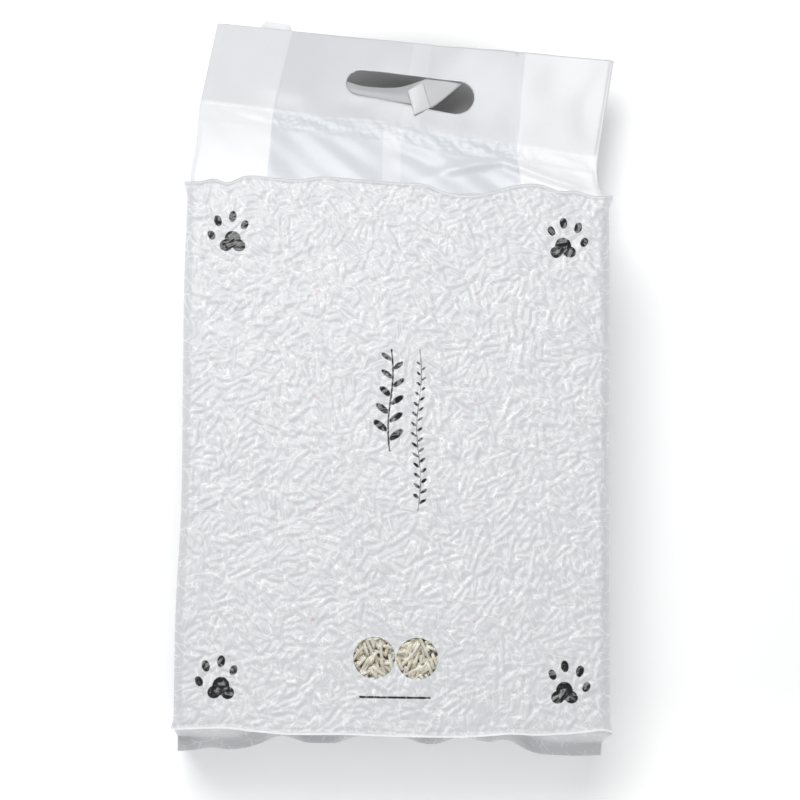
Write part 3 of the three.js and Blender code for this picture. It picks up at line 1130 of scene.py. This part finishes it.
def foot_sheet(u, distance, face):
    """One side of the foot: the end flap of the brick, then one side of the fin."""
    surface = front_surface if face > 0 else back_surface
    start_x, start_y, start_z = surface(u, np.zeros_like(u))
    drop = FLAP_DROP[face]
    across = mix(-HALF_WIDTH, HALF_WIDTH, u)
    to_side = to_border(u, WIDTH)
    reach = 2.5 * smooth(to_side, 0, 16) * smooth(distance, 0, 8)
    along = softened(lambda s: np.maximum(s - drop, 0), distance, reach)
    level = softened(lambda s: np.clip(s / drop, 0, 1), distance, reach)
    middle = smooth(to_side, 26, 50)
    hollow = FOOT_HOLLOW * middle * smooth(level, 0.04, 0.4)
    hollow += FLAP_HOLLOW * middle * np.sin(np.pi * np.clip(level, 0, 1)) * (face > 0)
    fin_out = through(FIN_OUT, across) + FIN_CURL * middle
    lean = np.clip(fin_out / FIN_LENGTH, -0.2, 0.98)
    fall = np.sqrt(1 - lean**2)
    tip = smooth(along, FIN_LENGTH - 1.5, FIN_LENGTH)
    apart = face * 0.4 * smooth(to_side, 0, 2) * (1 - tip) * smooth(along, 0, 2)
    tucked = (-HALF_LENGTH - start_y) * (1 - smooth(distance, 0, LIP_FADE[face]))
    y = -HALF_LENGTH + hollow - tucked - along * lean - apart * fall
    above = (start_z - ROOT_HEIGHT) * (1 - level) - along * fall + apart * lean
    x = mix(start_x, across, smooth(distance, 0, 8))
    return x, y, ROOT_HEIGHT + above, across, distance - drop


def build_foot(name, face):
    """One side of the foot, with the pellets showing in its end flap."""
    drop = FLAP_DROP[face]
    total = drop + FIN_LENGTH

    def place(u, v):
        distance = v * total
        x, y, z, across, along = foot_sheet(u, distance, face)
        depth, crease = end_relief(across, distance, drop, END_SHIFT[-face])
        return x, y + depth, z, across, along, crease

    film_panel(name, FRONT_COLUMNS, round(total / SHEET_STEP), place, film_plain,
               flip=face > 0)


build_foot("foot_front", 1)
build_foot("foot_back", -1)
build_side("side_left", -1)
build_side("side_right", 1)

# %% [markdown]
# ## The litter
# Only the pellets under the windows are ever seen, so those are real rods, laid where the
# height map has them, and the rest of the litter is one rounded block just behind them. A
# cone with equal ends is a cylinder, and bevelling its rims gives a cut pellet. These rods
# are a little thinner than the map's, and each has another crossing under it, so the gaps
# between them are dark but not empty.

# %% Lay the pellets under the windows
PELLET_MARGIN = 7.5
PELLET_SIDES = 9
THIN_RADIUS = 0.92
LOWER_ROD = (1.3, 0.9, 1.7)
CROSSING = 1.2
FILM_GAP = 0.45


def turned_rod(x, y, z, turn, tilt):
    """The matrix that lays a rod built along Z on its side, at x, y, z in millimetres."""
    lay = Matrix.Rotation(turn, 4, "Z") @ Matrix.Rotation(math.pi / 2 + tilt, 4, "Y")
    return Matrix.Translation(Vector((x, y, z)) * MM) @ lay


def near_windows(x, y):
    """Whether a rod here could be seen through a window."""
    return any(math.hypot(x - cx, y - cy) < WINDOW_RADIUS + PELLET_MARGIN
               for cx, cy in WINDOWS)


def lay_rod(heap, x, y, turn, length, base, tilt):
    """One rod under the front film at x, y, its top base mm below the film."""
    film = front_surface(np.array([x / WIDTH + 0.5]), np.array([y / LENGTH + 0.5]))
    film_x, film_y, film_z = (float(value[0]) for value in film)
    z = film_z - FILM_GAP - THIN_RADIUS - base
    bmesh.ops.create_cone(
        heap, cap_ends=True, segments=PELLET_SIDES,
        matrix=turned_rod(film_x, film_y, z, turn, tilt / length),
        radius1=THIN_RADIUS * MM, radius2=THIN_RADIUS * MM,
        depth=(length + PELLET_RADIUS) * MM)


def lay_pellets():
    """Every rod near a window with another crossing under it: the mesh and the count."""
    heap = bmesh.new()
    count = 0
    aside_x, aside_y, lower = LOWER_ROD
    for x, y, turn, length, base, tilt in pellets:
        for spot_x in (x, x - MAP_WIDTH):
            for spot_y in (y, y - MAP_LENGTH):
                if near_windows(spot_x, spot_y):
                    lay_rod(heap, spot_x, spot_y, turn, length, base, tilt)
                    lay_rod(heap, spot_x + aside_x, spot_y + aside_y, turn + CROSSING,
                            length, base + lower, -tilt)
                    count += 2
    rims = [e for e in heap.edges if any(len(f.verts) == PELLET_SIDES
                                         for f in e.link_faces)]
    bmesh.ops.bevel(heap, geom=rims, offset=0.35 * MM, segments=1, profile=0.5,
                    affect="EDGES", material=-1)
    mesh = mesh_from("pellet_bed", heap)
    smooth_shaded(mesh)
    return mesh, count


pellet_mesh, pellet_count = lay_pellets()
pellet_bed = add_object("pellet_bed", pellet_mesh)
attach(pellet_bed, "root")
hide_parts("litter_fill")
print("pellets laid:", pellet_count, "with", len(pellet_mesh.polygons), "faces")

# %% The block of litter behind them
CORE_LOW = Vector((-102.0, -124.0, 6.0)) * MM
CORE_HIGH = Vector((102.0, 132.0, 73.0)) * MM


def build_core():
    """A block with rounded edges."""
    block = bmesh.new()
    bmesh.ops.create_cube(block, size=1.0)
    bmesh.ops.scale(block, vec=CORE_HIGH - CORE_LOW, verts=block.verts)
    bmesh.ops.translate(block, vec=(CORE_HIGH + CORE_LOW) / 2, verts=block.verts)
    bmesh.ops.bevel(block, geom=block.edges[:], offset=6 * MM, segments=4, profile=0.5,
                    affect="EDGES", material=-1)
    return mesh_from("litter_core", block)


litter_core = add_object("litter_core", build_core())
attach(litter_core, "root")
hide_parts("litter_fill")
print("core:", [round(d / MM) for d in litter_core.dimensions])

# %% [markdown]
# The pellets are pressed plant fibre: matt, cream to pale straw, a little different from rod
# to rod, with fine darker flecks and a rough skin. The block behind them is the same stuff.

# %% Pellet finish
STRAW = (0.80, 0.76, 0.65, 1)
CREAM = (0.95, 0.94, 0.88, 1)
FLECK = (0.58, 0.53, 0.41, 1)
pellet_skin, tree, shader, _ = new_material("pellet_skin")
place = add_node(tree, "ShaderNodeTexCoord").outputs["Object"]
per_rod, flecks = noise(place, 210.0, 1.0, 0.4), noise(place, 2600.0, 4.0, 0.65)
tint = blend_colours(rising(per_rod, 0.35, 0.65), STRAW, CREAM)
feed((shader.inputs["Base Color"],),
     (blend_colours(rising(flecks, 0.40, 0.75), tint, FLECK),))
shader.inputs["Roughness"].default_value = 0.8
bump(tree, shader, flecks, 0.5)
pellet_mesh.materials.append(pellet_skin)
litter_core.data.materials.append(pellet_skin)

# %% [markdown]
# ## The tucked folds and the punched slug
# Inside the header each gusset is still folded in on itself, a V of film that ends at the
# mouth. On the left a corner of it stands a few millimetres out of the mouth. The slug of
# film that the punch cut out of the hand slot hangs on by one end: it lies along the lower
# edge of the slot, turns up under the far edge, and its end is folded over like a ribbon.

# %% Fold the gussets into the header
TUCK_COLUMNS, TUCK_ROWS = 92, 48
TUCK_FROM = 12.0
TUCK_GAP = 0.42
TUCKED_BACK = -1.5
TAB_OUT, TAB_SLOPE = 3.6, 0.06
TAB_FROM = -86.0
TAB_TO = -64.5


def build_tuck(name, side, fold):
    """One gusset inside the header: out from the side edge to its fold, and back."""
    edge = side * (HALF_WIDTH - 0.8)

    def place(u, v):
        share = np.abs(v - 0.5) * 2
        across = mix(mix(*fold, u), edge, share)
        tab = smooth(across, TAB_FROM, TAB_FROM + 2) * (1 - smooth(
            across, TAB_TO - 1.5, TAB_TO)) * (v > 0.5)
        corner = 2.4 * (v > 0.5) * smooth(across, 98, 106)
        left_peek = mix(TUCKED_BACK, TAB_OUT + TAB_SLOPE * (TAB_TO - across), tab)
        peek = left_peek if side < 0 else TUCKED_BACK + corner
        along = mix(TUCK_FROM, HEADER_LENGTH + peek, u)
        lift = header_buckles(across, along) + seal_crinkles(across, along)
        spread = TUCK_GAP * smooth(share, 0, 0.1) * np.sign(0.5 - v)
        x, y, z = on_header(across, along, lift + spread)
        return x, y, z, across, along, np.zeros_like(x)

    film_panel(name, TUCK_COLUMNS, TUCK_ROWS, place, film_header, flip=side > 0)


build_tuck("gusset_fold_left", -1, LEFT_FOLD)
build_tuck("gusset_fold_right", 1, RIGHT_FOLD)

# %% Hang the slug in the slot
LEG_UPPER = ((-35.2, 1.6), (-24.7, 0.4), (-9.4, 1.8), (-0.3, 5.0), (8.6, 10.4), (9.4, 14.0))
LEG_LOWER = ((-34.0, -3.0), (-28.0, -5.6), (-10.0, -6.8), (3.0, -7.4), (12.6, -8.2),
             (31.0, 13.6))
LEG_HEIGHT = (0.0, -0.9, -1.2, -1.0, -1.2, -2.6)
FOLD_CORNERS = ((-1.1, 0.2, 0.9), (6.7, 6.4, 0.6), (12.9, -7.9, -0.3), (4.8, -14.2, 1.9))
SLUG_SHIFT = (2.8, -0.5)
# The slug's film is painted a darker grey than the rest: a painted shade for where it hangs
# sunk in the slot.
film_slug_painted_shade, tree, shader, _ = new_material("film_slug_painted_shade")
finish_film(tree, shader, flat_place(tree)[0], (0.45, 0.45, 0.465, 1), lift=0.6,
            fine=0.0)


def ribbon_leg(u, v):
    """The long leg of the slug: across, along and above on the header."""
    at = u * (len(LEG_UPPER) - 1)
    knots = np.arange(len(LEG_UPPER))
    upper = [through(list(zip(knots, line)), at) for line in np.array(LEG_UPPER).T]
    lower = [through(list(zip(knots, line)), at) for line in np.array(LEG_LOWER).T]
    above = through(list(zip(knots, LEG_HEIGHT)), at)
    curl = 0.8 * np.sin(np.pi * v) * smooth(at, 0, 1.2)
    return mix(lower[0], upper[0], v), mix(lower[1], upper[1], v), above + curl


def ribbon_fold(u, v):
    """The folded end: a pointed diamond of doubled film that lies over the slot's edge."""
    a, b, c, d = (np.array(corner) for corner in FOLD_CORNERS)
    low, high = [mix(d[i], c[i], u) for i in range(3)], [mix(a[i], b[i], u) for i in range(3)]
    across, along, above = (mix(low[i], high[i], v) for i in range(3))
    return across, along, above + 0.7 * np.sin(np.pi * u) ** 0.7 * smooth(v, 0, 0.3)


def build_slug(name, shape, columns, rows, tone):
    """One part of the slug, laid in the slot. The tone, a painted shade and light, runs from
    its root to its tip.
    """
    def place(u, v):
        across, along, above = shape(u, v)
        across, along = across + SLUG_SHIFT[0], along + SLOT_DISTANCE + SLUG_SHIFT[1]
        x, y, z = on_header(across, along, above)
        return x, y, z, across, along, mix(*tone, smooth(u, 0.45, 0.75))

    piece = film_panel(name, columns, rows, place, film_slug_painted_shade)
    thicken(piece)
    return piece


# Painted shade and light: the leg is darkest at its root and lighter towards its tip, and the
# fold is painted light all over.
slug_leg = build_slug("slug_leg", ribbon_leg, 80, 14, (0.0, 0.6))
build_slug("slug_fold", ribbon_fold, 14, 20, (0.85, 0.85))
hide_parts("handle_flap")

# %% [markdown]
# ## The floor
# The floor is a plain pale sheet, a touch brighter than the film, with a faint painted glow
# that lifts its shadows, a little more past the foot, where the key light is weak. Under the
# hand slot a shadow is painted into its colour, so that seen through the slot the floor lies in
# deep shade, more than this soft light leaves under the header.

# %% Floor, sizes and finish
FLOOR_HALF_SIZE = 3.0
FLOOR_PALE = (0.95, 0.95, 0.95, 1)
FLOOR_SHADED = (0.34, 0.325, 0.315, 1)
SHADE_CENTRE = (0.008, 0.217)
SHADE_REACH = (0.105, 0.052)
FLOOR_GLOW = 0.15
FOOT_GLOW = 0.19
FOOT_GLOW_FROM = 0.10
FOOT_GLOW_FULL = 0.19

ground = bmesh.new()
bmesh.ops.create_grid(ground, x_segments=1, y_segments=1, size=FLOOR_HALF_SIZE)
floor = add_object("floor", mesh_from("floor", ground))
floor_paint, tree, shader, _ = new_material("floor_paint")
place = add_node(tree, "ShaderNodeTexCoord").outputs["Object"]
split = add_node(tree, "ShaderNodeSeparateXYZ", (place,))
off_x, off_y = (divide(subtract(split.outputs[i], SHADE_CENTRE[i]), SHADE_REACH[i])
                for i in range(2))
away = calc("SQRT", multiply_add(off_x, off_x, multiply(off_y, off_y)))
# Painted shadow: under the hand slot the floor's colour darkens to the shaded grey, and its
# glow is left out there.
open_floor = rising(away, 0.1, 1.0)
# Painted light: the floor glows faintly, a little more past the foot.
past_foot = rising(multiply(split.outputs[1], -1.0), FOOT_GLOW_FROM, FOOT_GLOW_FULL)
glow = multiply(open_floor, multiply_add(past_foot, FOOT_GLOW, FLOOR_GLOW))
feed((shader.inputs["Base Color"], shader.inputs["Emission Strength"]),
     (blend_colours(open_floor, FLOOR_SHADED, FLOOR_PALE), glow))
shader.inputs["Emission Color"].default_value = (1, 1, 1, 1)
shader.inputs["Roughness"].default_value = 0.9
floor.data.materials.append(floor_paint)
